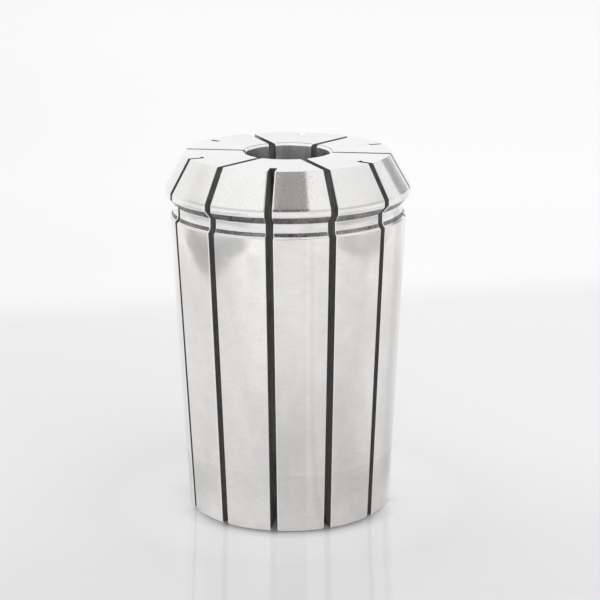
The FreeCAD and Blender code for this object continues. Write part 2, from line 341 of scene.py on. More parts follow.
SENSOR = 36.0
FRAME_PIXELS = 600


class Spot:
    """A point of the outline, with the way into the steel and the zone of the stretch after it."""

    def __init__(self, place, inward, zone):
        self.place = place
        self.inward = inward
        self.zone = zone


def outline_sizes(size):
    """The outline's sizes: three heights, and the radii of rim, groove, taper and foot."""
    collar = size.collar_diameter / 2
    rim = collar - size.nose_height * math.tan(size.nose_angle)
    land_foot = size.overall_length - size.nose_height - size.collar_land
    floor_top = land_foot - size.groove_depth / math.tan(size.underside_angle)
    floor_foot = floor_top - size.groove_floor
    taper_top = floor_foot - size.body_step / math.tan(size.groove_wall_angle)
    groove = collar - size.groove_depth
    taper = groove + size.body_step
    foot = taper - taper_top / (2 * size.taper_ratio)
    return (floor_top, floor_foot, taper_top), (rim, groove, taper, foot)


def outline_corners(size):
    """The closed outline's corners, from the tail's bore mouth round.

    Each is a place, its rounding, the rounding's own zone if it has one, the zone after it and
    the rows over that.
    """
    top = size.overall_length
    bore = size.bore_diameter / 2
    collar = size.collar_diameter / 2
    land_top = top - size.nose_height
    land_foot = land_top - size.collar_land
    (floor_top, floor_foot, taper_top), (rim, groove, taper, foot) = outline_sizes(size)
    slope = 1 / (2 * size.taper_ratio)
    foot_chamfer = size.foot_chamfer
    mouth = size.bore_chamfer
    soft = size.chamfer_edge
    return [
        (Vector((bore + mouth, 0.0)), soft, SKIN, FACE, PLAIN_ROWS),
        (Vector((foot - foot_chamfer, 0.0)), soft, None, CHAMFER, 1),
        (Vector((foot + foot_chamfer * slope, foot_chamfer)), soft, None, TAPER, TAPER_ROWS),
        (Vector((taper, taper_top)), size.taper_edge_radius, None, GROOVE, 1),
        (Vector((groove, floor_foot)), size.groove_foot_radius, SKIN, GROOVE, 1),
        (Vector((groove, floor_top)), size.groove_top_radius, None, SKIN, 1),
        (Vector((collar, land_foot)), size.collar_radius, CONE, CONE, 1),
        (Vector((collar, land_top)), size.shoulder_radius, None, CONE, PLAIN_ROWS),
        (Vector((rim, top)), size.rim_radius, None, FACE, PLAIN_ROWS),
        (Vector((bore + mouth, top)), soft, SKIN, CHAMFER, 1),
        (Vector((bore, top - mouth)), soft, None, BORE, TAPER_ROWS),
        (Vector((bore, mouth)), soft, None, CHAMFER, 1),
    ]


def left_of(direction):
    """The steel lies to the left of the outline's way round."""
    return Vector((-direction.y, direction.x))


def rounded_outline(corners, stops):
    """Spots along the outline, with each corner an arc and with a spot at each of the stops."""
    arcs = []
    count = len(corners)
    for i, (place, radius, *_) in enumerate(corners):
        back = (place - corners[i - 1][0]).normalized()
        ahead = (corners[(i + 1) % count][0] - place).normalized()
        turn = math.atan2(back.x * ahead.y - back.y * ahead.x, back.dot(ahead))
        side = 1.0 if turn > 0 else -1.0
        start = place - back * radius * math.tan(abs(turn) / 2)
        centre = start + left_of(back) * radius * side
        steps = max(2, math.ceil(abs(turn) / ARC_STEP))
        arc = []
        for step in range(steps + 1):
            angle = turn * step / steps
            spin = Matrix.Rotation(angle, 2)
            arc.append((centre + spin @ (start - centre), spin @ left_of(back)))
        arcs.append(arc)
    spots = []
    for i, (_, _, own, zone, rows) in enumerate(corners):
        arc = arcs[i]
        if own is None:
            first, limit = corners[i - 1][3], len(arc) // 2
        else:
            first, limit = own, OWN_SHARE * (len(arc) - 1)
        for step, (point, inward) in enumerate(arc[:-1]):
            spots.append(Spot(point, inward, first if step < limit else zone))
        point, inward = arc[-1]
        following = arcs[(i + 1) % count][0][0]
        way = following - point
        fixed = [0.0]
        for stop in stops:
            share = (stop - point).dot(way) / way.length_squared
            apart = (point + way * share - stop).length
            if 0 < share < 1 and apart < ON_OUTLINE:
                fixed.append(share)
        even = [row / rows for row in range(1, rows)]
        free = [share for share in even if min(abs(share - f) for f in fixed) > ROW_ROOM / rows]
        for share in sorted(fixed + free):
            spots.append(Spot(point + way * share, inward, zone))
    return spots


def spot_at(spots, place):
    """Index of the spot at a place."""
    return min(range(len(spots)), key=lambda i: (spots[i].place - place).length)


def outline_rim(size, from_nose):
    """Radius of the end face's theoretical rim at the end where a slot's run-out comes out."""
    rim, _, _, foot = outline_sizes(size)[1]
    return foot if from_nose else rim


def outline_stops(size):
    """Places on the outline where a slot ends, and where its edge break has faded in."""
    top = size.overall_length
    bore = size.bore_diameter / 2
    tail_slit = outline_rim(size, True) - size.slit_length
    nose_slit = outline_rim(size, False) - size.slit_length
    web = size.web_height
    return [
        Vector((tail_slit, 0.0)),
        Vector((tail_slit + BREAK_FADE, 0.0)),
        Vector((nose_slit, top)),
        Vector((nose_slit + BREAK_FADE, top)),
        Vector((bore, web)),
        Vector((bore, web + BREAK_FADE)),
        Vector((bore, top - web)),
        Vector((bore, top - web - BREAK_FADE)),
    ]


def swept(place, lateral, angle):
    """A point of the outline swept to a lateral distance from the plane of a slot at an angle."""
    along = math.sqrt(place.x ** 2 - lateral ** 2)
    return Matrix.Rotation(angle, 3, "Z") @ Vector((along, lateral, place.y))


class Slot:
    """One radial slot: its plane, the open stretch of the outline and the saw's run-out."""

    def __init__(self, size, spots, angle, from_nose):
        top = size.overall_length
        bore = size.bore_diameter / 2
        rim_corner = outline_rim(size, from_nose)
        self.angle = angle
        self.from_nose = from_nose
        end = 0.0 if from_nose else top
        into = 1.0 if from_nose else -1.0
        self.slit_end = Vector((rim_corner - size.slit_length, end))
        self.web_foot = Vector((bore, end + into * size.web_height))
        across = Vector((size.web_height, into * (self.slit_end.x - bore))).normalized()
        half = (self.slit_end - self.web_foot).length / 2
        reach = math.sqrt(size.saw_radius ** 2 - half ** 2)
        self.saw_centre = (self.slit_end + self.web_foot) / 2 + across * reach
        self.slit, self.foot = spot_at(spots, self.slit_end), spot_at(spots, self.web_foot)
        ends = (self.slit, self.foot)
        self.first, self.last = ends if from_nose else ends[::-1]
        count = len(spots)
        self.open = [(self.first + k) % count for k in range((self.last - self.first) % count + 1)]
        self.shut = [(self.last + k) % count for k in range((self.first - self.last) % count + 1)]


class SectorMesh:
    """The sector of the collet round +X, between two mid-lamellas, with a slot of each kind."""

    def __init__(self, size):
        self.size = size
        self.half_slot = size.slot_width / 2
        self.reach = math.pi / size.slot_count
        quarter = self.reach / 2
        corners = outline_corners(size)
        self.spots = rounded_outline(corners, outline_stops(size))
        self.nose_slot = Slot(size, self.spots, -quarter, True)
        self.tail_slot = Slot(size, self.spots, quarter, False)
        self.bm = bmesh.new()
        self.zone = self.bm.faces.layers.int.new("zone")
        self.edge = self.bm.verts.layers.float.new("slot_edge")
        self.breaks = {slot: self.break_sizes(slot) for slot in (self.nose_slot, self.tail_slot)}
        self.edges = {
            (slot, side): [self.slot_edge(slot, side, i) for i in range(len(self.spots))]
            for slot in (self.nose_slot, self.tail_slot)
            for side in (-1, 1)
        }
        self.webs = {slot: self.web_columns(slot) for slot in (self.nose_slot, self.tail_slot)}

    def vert(self, place, wear=0.0):
        made = self.bm.verts.new(place)
        made[self.edge] = wear
        return made

    def face(self, ring, zone):
        """A face through a ring of corners, of which some may be the same."""
        corners = [v for k, v in enumerate(ring) if v is not ring[k - 1]]
        if len(corners) > 2:
            self.bm.faces.new(corners)[self.zone] = zone

    def strip(self, near, far, zone):
        for k in range(len(near) - 1):
            self.face((near[k], near[k + 1], far[k + 1], far[k]), zone)

    def break_sizes(self, slot):
        """The edge break at each spot, fading in from both ends of the slot."""
        sizes = [0.0] * len(self.spots)
        places = [self.spots[i].place for i in slot.open]
        steps = [(b - a).length for a, b in zip(places, places[1:])]
        gone = 0.0
        whole = sum(steps)
        for i, step in zip(slot.open, [0.0] + steps):
            gone += step
            share = min(1.0, gone / BREAK_FADE, (whole - gone) / BREAK_FADE)
            sizes[i] = self.size.edge_break * max(0.0, share)
        sizes[slot.last] = 0.0
        return sizes

    def slot_edge(self, slot, side, i):
        """Corners of the rounded edge at a spot, from the turned surface to the slot's wall."""
        spot = self.spots[i]
        size = self.breaks[slot][i]
        if size == 0.0:
            sharp = self.vert(swept(spot.place, side * self.half_slot, slot.angle))
            return [sharp] * (BREAK_STEPS + 1)
        corners = []
        for step in range(BREAK_STEPS + 1):
            angle = math.pi / 2 * step / BREAK_STEPS
            place = spot.place + spot.inward * size * (1 - math.cos(angle))
            lateral = side * (self.half_slot + size * (1 - math.sin(angle)))
            corners.append(self.vert(swept(place, lateral, slot.angle), 1.0))
        return corners

    def web_columns(self, slot):
        """Corners across the web, at every spot where the slot is shut."""
        laterals = [self.half_slot * (2 * k / SLOT_COLUMNS - 1) for k in range(1, SLOT_COLUMNS)]
        rows = {}
        for i in slot.shut:
            place = self.spots[i].place
            across = [self.vert(swept(place, lateral, slot.angle)) for lateral in laterals]
            rows[i] = [self.edges[slot, -1][i][0]] + across + [self.edges[slot, 1][i][0]]
        return rows

    def lamella_row(self, i, after, before):
        """Corners at a spot from one slot's wall to the next one's, or to the sector's side."""
        place = self.spots[i].place
        ends = []
        for slot, side in ((after, 1), (before, -1)):
            if slot is None:
                ends.append((side * -self.reach, []))
            else:
                lateral = side * (self.half_slot + self.breaks[slot][i])
                ends.append((slot.angle + math.asin(lateral / place.x), self.edges[slot, side][i]))
        (left, left_edge), (right, right_edge) = ends
        columns = LAMELLA_COLUMNS if after and before else LAMELLA_COLUMNS // 2
        turns = [left + (right - left) * k / columns for k in range(columns + 1)]
        guard = GUARD / place.x
        if left_edge:
            turns[0] += guard
        if right_edge:
            turns[-1] -= guard
        inner = [
            self.vert((place.x * math.cos(turn), place.x * math.sin(turn), place.y))
            for turn in turns
        ]
        return left_edge[::-1] + inner + right_edge

    def lamella(self, after, before):
        """The turned surface between two slots, with the rounded edges beside them."""
        rows = [self.lamella_row(i, after, before) for i in range(len(self.spots))]
        for i, near in enumerate(rows):
            far = rows[(i + 1) % len(rows)]
            last = len(near) - 1
            for k in range(last):
                breaks = (after and k < BREAK_STEPS) or (before and k >= last - BREAK_STEPS)
                zone = CHAMFER if breaks else self.spots[i].zone
                self.face((near[k], near[k + 1], far[k + 1], far[k]), zone)

    def run_out(self, slot):
        """Rows of corners over the saw's run-out, from the slit's end to the web's foot."""
        first = slot.slit_end - slot.saw_centre
        last = slot.web_foot - slot.saw_centre
        turn = math.atan2(first.x * last.y - first.y * last.x, first.dot(last))
        laterals = [self.half_slot * (2 * k / SLOT_COLUMNS - 1) for k in range(SLOT_COLUMNS + 1)]
        spin = Matrix.Rotation(slot.angle, 3, "Z")
        rows = [self.webs[slot][slot.slit]]
        for row in range(1, RUN_OUT_ROWS):
            x, y = slot.saw_centre + Matrix.Rotation(turn * row / RUN_OUT_ROWS, 2) @ first
            rows.append([self.vert(spin @ Vector((x, lateral, y))) for lateral in laterals])
        rows.append(self.webs[slot][slot.foot])
        return rows

    def slot(self, slot):
        """The web across the slot's shut end, the run-out over it and the slot's two flat walls."""
        for i, j in zip(slot.shut, slot.shut[1:]):
            self.strip(self.webs[slot][i], self.webs[slot][j], self.spots[i].zone)
        floor = self.run_out(slot)
        for near, far in zip(floor, floor[1:]):
            if slot.from_nose:
                self.strip(near, far, RUN_OUT)
            else:
                self.strip(far, near, RUN_OUT)
        for side, column in ((-1, 0), (1, -1)):
            outer = [self.edges[slot, side][i][-1] for i in slot.open]
            inner = [row[column] for row in floor[1:-1]]
            if slot.from_nose:
                inner.reverse()
            ring = outer + inner
            self.face(ring if side == 1 else ring[::-1], SLOT)

    def make(self):
        self.lamella(None, self.nose_slot)
        self.lamella(self.nose_slot, self.tail_slot)
        self.lamella(self.tail_slot, None)
        self.slot(self.nose_slot)
        self.slot(self.tail_slot)
        mesh = bpy.data.meshes.new("collet_sector")
        self.bm.to_mesh(mesh)
        self.bm.free()
        return mesh


class Nodes:
    """Short ways to add and join nodes in one tree."""

    def __init__(self, tree):
        self.tree = tree

    def add(self, kind, **settings):
        node = self.tree.nodes.new(kind)
        for key, value in settings.items():
            setattr(node, key, value)
        return node

    def put(self, socket, value):
        if isinstance(value, bpy.types.NodeSocket):
            self.tree.links.new(value, socket)
        elif value is not None:
            socket.default_value = value

    def make(self, kind, values, **settings):
        """A new node's outputs, with its inputs filled by name or number."""
        node = self.add(kind, **settings)
        for key, value in values.items():
            self.put(node.inputs[key], value)
        return node.outputs

    def math(self, operation, first, second=None, third=None):
        values = {0: first, 1: second, 2: third}
        return self.make("ShaderNodeMath", values, operation=operation)[0]

    def times(self, first, second):
        return self.math("MULTIPLY", first, second)

    def plus(self, first, second):
        return self.math("ADD", first, second)

    def minus(self, first, second):
        return self.math("SUBTRACT", first, second)

    def summed(self, start, *terms):
        """A start with each mask times its share added."""
        for mask, share in terms:
            start = self.math("MULTIPLY_ADD", mask, share, start)
        return start

    def noise(self, vector, scale, detail=2.0, roughness=0.5):
        values = {"Vector": vector, "Scale": scale, "Detail": detail, "Roughness": roughness}
        return self.make("ShaderNodeTexNoise", values)["Fac"]

    def scaled(self, vector, scale):
        return self.make("ShaderNodeVectorMath", {0: vector, 1: scale}, operation="MULTIPLY")[0]

    def vector(self, x, y, z):
        return self.make("ShaderNodeCombineXYZ", {"X": x, "Y": y, "Z": z})[0]

    def tones(self, value, stops, first=BLACK, second=WHITE):
        """A colour between two, by a value's place among stops of (value, share of the second)."""
        low, high = stops[0][0], stops[-1][0]
        node = self.add("ShaderNodeValToRGB")
        self.put(node.inputs["Fac"], self.ramp(value, low, high))
        points = node.color_ramp.elements
        while len(points) < len(stops):
            points.new(1.0)
        for point, (place, share) in zip(points, stops):
            point.position = (place - low) / (high - low)
            point.color = (*(a + (b - a) * share for a, b in zip(first, second)), 1.0)
        return node.outputs["Color"]

    def ramp(self, value, low, high, out_low=0.0, out_high=1.0):
        values = {"Value": value, "From Min": low, "From Max": high}
        values.update({"To Min": out_low, "To Max": out_high})
        return self.make("ShaderNodeMapRange", values, clamp=True)["Result"]

    def mix(self, factor, first, second):
        values = {"Factor": factor, 6: first, 7: second}
        return self.make("ShaderNodeMix", values, data_type="RGBA")[2]

    def group(self, tree, **values):
        return self.make("ShaderNodeGroup", values, node_tree=tree)


# Geometry nodes: the sector repeated round the axis

def ring_tree(materials):
    """Turns copies of a sector round the axis, joins them and gives each zone its material."""
    tree = bpy.data.node_groups.new("slotted_ring", "GeometryNodeTree")
    for label, way, kind in (
        ("Sector", "INPUT", "NodeSocketGeometry"),
        ("Copies", "INPUT", "NodeSocketInt"),
        ("Seam", "INPUT", "NodeSocketFloat"),
        ("Ring", "OUTPUT", "NodeSocketGeometry"),
    ):
        tree.interface.new_socket(label, in_out=way, socket_type=kind)
    nodes = Nodes(tree)
    given = nodes.add("NodeGroupInput").outputs
    values = {"Count": given["Copies"], "Offset": (0.0, 0.0, 0.0)}
    line = nodes.make("GeometryNodeMeshLine", values, mode="OFFSET")
    index = nodes.add("GeometryNodeInputIndex").outputs["Index"]
    turn = nodes.times(index, nodes.math("DIVIDE", math.tau, given["Copies"]))
    values = {"Points": line["Mesh"], "Instance": given["Sector"]}
    values["Rotation"] = nodes.vector(0.0, 0.0, turn)
    copies = nodes.make("GeometryNodeInstanceOnPoints", values)
    real = nodes.make("GeometryNodeRealizeInstances", {"Geometry": copies["Instances"]})
    values = {"Geometry": real["Geometry"], "Distance": given["Seam"]}
    last = nodes.make("GeometryNodeMergeByDistance", values)["Geometry"]
    zone = nodes.make("GeometryNodeInputNamedAttribute", {"Name": "zone"}, data_type="INT")
    for number, material in enumerate(materials):
        values = {2: zone["Attribute"], 3: number}
        same = nodes.make("FunctionNodeCompare", values, data_type="INT", operation="EQUAL")
        values = {"Geometry": last, "Selection": same["Result"], "Material": material}
        last = nodes.make("GeometryNodeSetMaterial", values)["Geometry"]
    nodes.put(nodes.add("NodeGroupOutput").inputs["Ring"], last)
    return tree


def with_tree(obj, tree, values):
    """Runs a geometry tree on an object and keeps the result as its plain mesh."""
    modifier = obj.modifiers.new(tree.name, "NODES")
    modifier.node_group = tree
    for item in tree.interface.items_tree:
        if item.in_out == "INPUT" and item.name in values:
            modifier[item.identifier] = values[item.name]
    graph = bpy.context.evaluated_depsgraph_get()
    graph.update()
    mesh = bpy.data.meshes.new_from_object(obj.evaluated_get(graph))
    obj.modifiers.clear()
    obj.data = mesh


# Shader groups

def shader_group(name, inputs, outputs):
    """A shader group with number inputs and outputs: its tree, its helper and its given values."""
    tree = bpy.data.node_groups.new(name, "ShaderNodeTree")
    for label, default in inputs:
        socket = tree.interface.new_socket(label, in_out="INPUT", socket_type="NodeSocketFloat")
        socket.default_value = default
    for label in outputs:
        tree.interface.new_socket(label, in_out="OUTPUT", socket_type="NodeSocketFloat")
    nodes = Nodes(tree)
    given = nodes.add("NodeGroupInput").outputs
    made = nodes.add("NodeGroupOutput").inputs
    return tree, nodes, given, made


def grey(nodes, value):
    """A number as a grey colour."""
    return nodes.vector(value, value, value)


def split(nodes, place, turn=0.0):
    """The x, y and z of a place, after a turn about the axis."""
    if turn:
        values = {"Vector": place, "Rotation": (0.0, 0.0, turn)}
        place = nodes.make("ShaderNodeMapping", values)[0]
    return nodes.make("ShaderNodeSeparateXYZ", {0: place})


def object_place(nodes, turn=0.0):
    """Object coordinates, whole and as x, y and z after a turn about the axis."""
    place = nodes.add("ShaderNodeTexCoord").outputs["Object"]
    return (place, *split(nodes, place, turn))


def from_middle(nodes, x, y):
    """Distance from the middle, for two coordinates."""
    square = nodes.math("MULTIPLY_ADD", x, x, nodes.times(y, y))
    return nodes.math("SQRT", square)


def grinding_marks():
    """Fine lines round the axis, of uneven depth and length, and the grain between them."""
    tree, nodes, given, made = shader_group(
        "grinding_marks",
        (("Lines", 4500.0), ("Breaks", 9.0), ("Grain", 0.35)),
        ("Height", "Lines", "Grain"),
    )
    place, x, y, z = object_place(nodes)
    radius = from_middle(nodes, x, y)
    across = nodes.minus(z, nodes.times(radius, ACROSS_CONE))
    line = nodes.times(across, given["Lines"])
    round_x, round_y = (
        nodes.times(nodes.math("DIVIDE", way, radius), given["Breaks"]) for way in (x, y)
    )
    fine = nodes.noise(nodes.vector(round_x, round_y, line), 1.0, 3.0, 0.6)
    slow = nodes.times(line, BROAD_LINES)
    broad = nodes.noise(nodes.vector(round_x, round_y, slow), 1.0, 1.0, 0.5)
    grain = nodes.noise(place, GRAIN_SCALE, 3.0, 0.75)
    lines = nodes.math("MULTIPLY_ADD", broad, 0.5, nodes.times(fine, 0.5))
    height = nodes.plus(lines, nodes.times(grain, given["Grain"]))
    nodes.put(made["Height"], height)
    nodes.put(made["Lines"], nodes.ramp(lines, *LINE_RANGE))
    nodes.put(made["Grain"], nodes.ramp(grain, *GRAIN_RANGE))
    return tree


def handling_clouds():
    """Soft cloudy patches, rubbed spots and a slow drift of tint, as on handled steel."""
    tree, nodes, given, made = shader_group(
        "handling_clouds", (("Size", 130.0), ("Rubs", 0.5)), ("Cloud", "Rub", "Tint")
    )
    place = object_place(nodes)[0]
    cloud = nodes.noise(nodes.scaled(place, (1.0, 1.0, 0.6)), given["Size"], 4.0, 0.6)
    finer = nodes.times(given["Size"], RUB_FINER)
    rub = nodes.noise(nodes.scaled(place, (1.0, 1.0, 0.45)), finer, 4.0, 0.7)
    tint = nodes.noise(place, TINT_SCALE, 2.0, 0.5)
    nodes.put(made["Cloud"], nodes.ramp(cloud, *CLOUD_RANGE))
    nodes.put(made["Rub"], nodes.times(nodes.ramp(rub, *RUB_RANGE), given["Rubs"]))
    nodes.put(made["Tint"], nodes.ramp(tint, *TINT_RANGE))
    return tree


def fine_scratches():
    """Short light hairlines at a few slants, in patches where the steel was rubbed."""
    tree, nodes, given, made = shader_group("fine_scratches", (("Spread", 0.56),), ("Mask",))
    place, x, y, z = object_place(nodes)
    patch = nodes.ramp(
        nodes.noise(place, SCRATCH_PATCH_SCALE, 2.0), given["Spread"], SCRATCH_PATCH_EDGE
    )
    total = 0.0
    for along_x, along_y in SCRATCH_WAYS:
        slant = nodes.math("MULTIPLY_ADD", x, along_x, nodes.math("MULTIPLY_ADD", y, along_y, z))
        line = nodes.vector(
            nodes.times(x, SCRATCH_LENGTHWAYS),
            nodes.times(y, SCRATCH_LENGTHWAYS),
            nodes.times(slant, SCRATCH_SCALE),
        )
        hairline = nodes.ramp(nodes.noise(line, 1.0, 1.0), *SCRATCH_RANGE)
        total = nodes.math("MAXIMUM", total, hairline)
    nodes.put(made["Mask"], nodes.times(total, patch))
    return tree


def edge_wear():
    """The bright band that deburring leaves beside a slot, uneven along its length."""
    tree, nodes, given, made = shader_group("edge_wear", (("Reach", 0.6),), ("Mask",))
    edge = nodes.add("ShaderNodeAttribute", attribute_name="slot_edge").outputs["Fac"]
    uneven = nodes.noise(object_place(nodes)[0], WEAR_SCALE, 3.0, 0.6)
    limit = nodes.minus(1.0, nodes.times(uneven, given["Reach"]))
    nodes.put(made["Mask"], nodes.ramp(nodes.minus(edge, limit), 0.0, WEAR_EDGE))
    return tree


def new_material(name, colour_value=(0.8, 0.8, 0.8), roughness=0.5):
    """A material with its nodes and its shader's sockets."""
    material = bpy.data.materials.new(name)
    material.use_nodes = True
    shader = material.node_tree.nodes["Principled BSDF"].inputs
    shader["Base Color"].default_value = (*colour_value, 1.0)
    shader["Roughness"].default_value = roughness
    return material, Nodes(material.node_tree), shader


def add_bump(nodes, shader, height, strength):
    values = {"Strength": strength, "Distance": BUMP_DEPTH, "Height": height}
    nodes.put(shader["Normal"], nodes.make("ShaderNodeBump", values)["Normal"])


class Finishes:
    """The collet's materials, made from its finish settings and the shared groups."""

    def __init__(self, finish, size):
        self.finish = finish
        self.top = size.overall_length
        self.bore = size.bore_diameter / 2
        self.taper_slope = 1 / (2 * size.taper_ratio)
        self.foot_radius = outline_rim(size, True)
        self.cone_slope = math.tan(size.nose_angle)
        self.cone_radius = outline_rim(size, False) + size.overall_length * self.cone_slope
        self.marks = grinding_marks()
        self.clouds = handling_clouds()
        self.scratches = fine_scratches()
        self.wear = edge_wear()

    def steel(
        self, name, metal, roughness, lines, breaks, darks,
        scatter=0.03, brushed=0.0, tints=(COOL, WARM), shade=None,
    ):
        """Steel with lines round the axis, grain, handling clouds, hairlines and bright worn edges.

        Lines is how many there are to a metre, and breaks how often one ends on its way round.
        Darks say how much the clouds, the lines and the grain darken the metal, and scatter how
        much the grain roughens it. Brushed is how much more it blurs along the axis than round
        it. Shade adds one more darkening.
        """
        cloud, line, grain = darks
        material, nodes, shader = new_material(name)
        marks = nodes.group(self.marks, Lines=lines, Breaks=breaks)
        clouds = nodes.group(self.clouds)
        scratches = nodes.group(self.scratches)
        wear = nodes.group(self.wear)
        cool, warm = ((*(c * f for c, f in zip(metal, tint)), 1.0) for tint in tints)
        dark = nodes.summed(
            0.0, (clouds["Cloud"], cloud), (marks["Lines"], line), (marks["Grain"], grain),
            (clouds["Rub"], -cloud), (scratches["Mask"], -cloud),
        )
        if shade:
            dark = nodes.plus(dark, shade(nodes))
        tint = nodes.mix(clouds["Tint"], cool, warm)
        tone = nodes.scaled(tint, grey(nodes, nodes.minus(1.0, dark)))
        bright = (*(min(1.0, c * EDGE_LIFT) for c in metal), 1.0)
        nodes.put(shader["Base Color"], nodes.mix(wear["Mask"], tone, bright))
        shader["Metallic"].default_value = 1.0
        shader["Anisotropic"].default_value = brushed
        shader["Anisotropic Rotation"].default_value = QUARTER_TURN
        clean, cloudy, rubbed = (
            roughness * share for share in (CLEAN_ROUGHNESS, CLOUD_ROUGHNESS, RUB_ROUGHNESS)
        )
        peaks = nodes.math("POWER", marks["Grain"], GRAIN_POWER)
        rough = nodes.summed(
            clean, (clouds["Cloud"], cloudy), (peaks, scatter), (clouds["Rub"], rubbed)
        )
        nodes.put(shader["Roughness"], rough)
        add_bump(nodes, shader, marks["Height"], BUMP_STRENGTH)
        return material

    def foot_shade(self, nodes):
        """Painted shade: the taper darkens towards its foot. It also has a seat mark and a darker
        band at the bottom.
        """
        place, _, _, z = object_place(nodes)
        # Painted shade, darker towards the foot.
        slow = nodes.ramp(z, FOOT_FADE, FOOT_BAND, 0.0, FOOT_PAINTED_SHADE)
        band = nodes.ramp(z, FOOT_BAND, FOOT_BAND - SEAT_MARK_WIDTH, 0.0, FOOT_BAND_DARK)
        patchy = nodes.noise(place, SEAT_MARK_SCALE, 2.0)
        uneven = nodes.ramp(patchy, *SEAT_MARK_RANGE, 0.0, SEAT_MARK_LIGHT)
        mark = nodes.math("COMPARE", z, FOOT_BAND + SEAT_MARK_WIDTH, SEAT_MARK_WIDTH / 2)
        foot_darkening = nodes.plus(slow, band)
        return nodes.minus(foot_darkening, nodes.times(mark, uneven))

    def sawn_and_lit(self, name, outer, inner):
        """Sawn steel in the slots: its dark skin near the slot's edges, and painted light that
        makes it lighter the deeper it lies.
        """
        material, nodes, shader = new_material(name)
        place, x, y, z = object_place(nodes)
        radius = from_middle(nodes, x, y)
        arcs = nodes.noise(nodes.scaled(place, (1.0, 1.0, 0.25)), SAW_SCALE, 3.0, 0.6)
        taper = nodes.math("MULTIPLY_ADD", z, self.taper_slope, self.foot_radius)
        cone = nodes.math("MULTIPLY_ADD", z, -self.cone_slope, self.cone_radius)
        outside = nodes.minus(nodes.math("MINIMUM", taper, cone), radius)
        ends = nodes.math("MINIMUM", z, nodes.minus(self.top, z))
        inside = nodes.minus(radius, self.bore)
        under = nodes.math("MINIMUM", outside, nodes.math("MINIMUM", ends, inside))
        # Painted light: the colour grows paler with depth into the slot.
        depth = nodes.ramp(under, SLOT_DARK, SLOT_LIGHT)
        tone = nodes.mix(depth, (*outer, 1.0), (*inner, 1.0))
        uneven = grey(nodes, nodes.ramp(arcs, *SAW_RANGE, *SAW_TONES))
        nodes.put(shader["Base Color"], nodes.scaled(tone, uneven))
        nodes.put(shader["Roughness"], nodes.ramp(arcs, *SAW_RANGE, *SAW_ROUGHNESS))
        add_bump(nodes, shader, arcs, SAW_BUMP)
        return material

    def all(self):
        """One material for each zone, in the zones' order."""
        finish = self.finish
        steel, skin = finish.steel, finish.skin
        # The bore's steel is painted darker, as shade inside the bore.
        turned = [c * BORE_SHADE for c in steel]
        cone, taper, face = finish.cone_roughness, finish.taper_roughness, finish.face_roughness
        made = {
            FACE: self.steel(
                "ground_face", steel, face, lines=3500.0, breaks=5.0, darks=(0.03, 0.01, 0.02),
                brushed=0.3,
            ),
            CONE: self.steel(
                "ground_cone", steel, cone, lines=5000.0, breaks=30.0, darks=(0.06, 0.01, 0.09),
                scatter=0.33,
            ),
            GROOVE: self.steel(
                "turned_groove", steel, cone * 2, lines=2600.0, breaks=4.0,
                darks=(0.06, 0.18, 0.05), scatter=0.1, brushed=0.6,
            ),
            SKIN: self.steel(
                "hardening_skin", skin, finish.skin_roughness, lines=3500.0, breaks=9.0,
                darks=(0.45, 0.1, 0.65), scatter=0.1,
            ),
            TAPER: self.steel(
                "ground_taper", steel, taper, lines=2600.0, breaks=9.0, darks=(0.07, 0.05, 0.09),
                brushed=0.6, tints=(PALE, ROSY), shade=self.foot_shade,
            ),
            CHAMFER: self.steel(
                "edge_break", steel, face, lines=5000.0, breaks=6.0, darks=(0.02, 0.02, 0.02),
                scatter=0.05,
            ),
            BORE: self.steel(
                "ground_bore", turned, finish.bore_roughness, lines=2600.0, breaks=10.0,
                darks=(0.03, 0.2, 0.03), brushed=0.6,
            ),
            SLOT: self.sawn_and_lit("sawn_and_lit_slot", finish.oxide, finish.sawn_and_lit),
            RUN_OUT: self.steel(
                "sawn_run_out", steel, RUN_OUT_ROUGHNESS, lines=3500.0, breaks=9.0,
                darks=(0.1, 0.1, 0.2), scatter=0.1,
            ),
        }
        return [made[zone] for zone in range(len(made))]


# The collet

def clean_mesh(mesh):
    """Faces outward, flat slot walls, and smooth turned surfaces that break only at real edges."""
    bm = bmesh.new()
    bm.from_mesh(mesh)
    bmesh.ops.recalc_face_normals(bm, faces=bm.faces)
    for face in bm.faces:
        face.smooth = len(face.verts) <= 4
    bm.to_mesh(mesh)
    bm.free()
    mesh.set_sharp_from_angle(angle=SHARP_EDGE)


class COLLET_OT_body(bpy.types.Operator):
    """Build the slotted steel body of the collet with its finishes"""

    bl_idname = "collet.body"
    bl_label = "Collet body"

    def execute(self, context):
        size = context.scene.collet_sizes
        materials = Finishes(context.scene.collet_finish, size).all()
        sector = SectorMesh(size).make()
        for material in materials:
            sector.materials.append(material)
        body = bpy.data.objects.new("collet_body", sector)
        context.scene.collection.objects.link(body)
        with_tree(body, ring_tree(materials), {"Copies": size.slot_count, "Seam": SEAM})
        clean_mesh(body.data)
        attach(body, "root")
        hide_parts(NODE)
        return {"FINISHED"}


# The stage

def flat_piece(name, x, y, place, material):
    """A flat rectangle of the stage, from its half sizes and its place."""
    mesh = bpy.data.meshes.new(name)
    mesh.from_pydata([(-x, -y, 0), (x, -y, 0), (x, y, 0), (-x, y, 0)], [], [(0, 1, 2, 3)])
    mesh.transform(place)
    mesh.materials.append(material)
    made = bpy.data.objects.new(name, mesh)
    bpy.context.scene.collection.objects.link(made)
    return made


def direction(azimuth, elevation):
    """Unit vector towards an azimuth (0 is the front, -Y, and 90 is +X) and an elevation."""
    flat = math.cos(elevation)
    return Vector((math.sin(azimuth) * flat, -math.cos(azimuth) * flat, math.sin(elevation)))


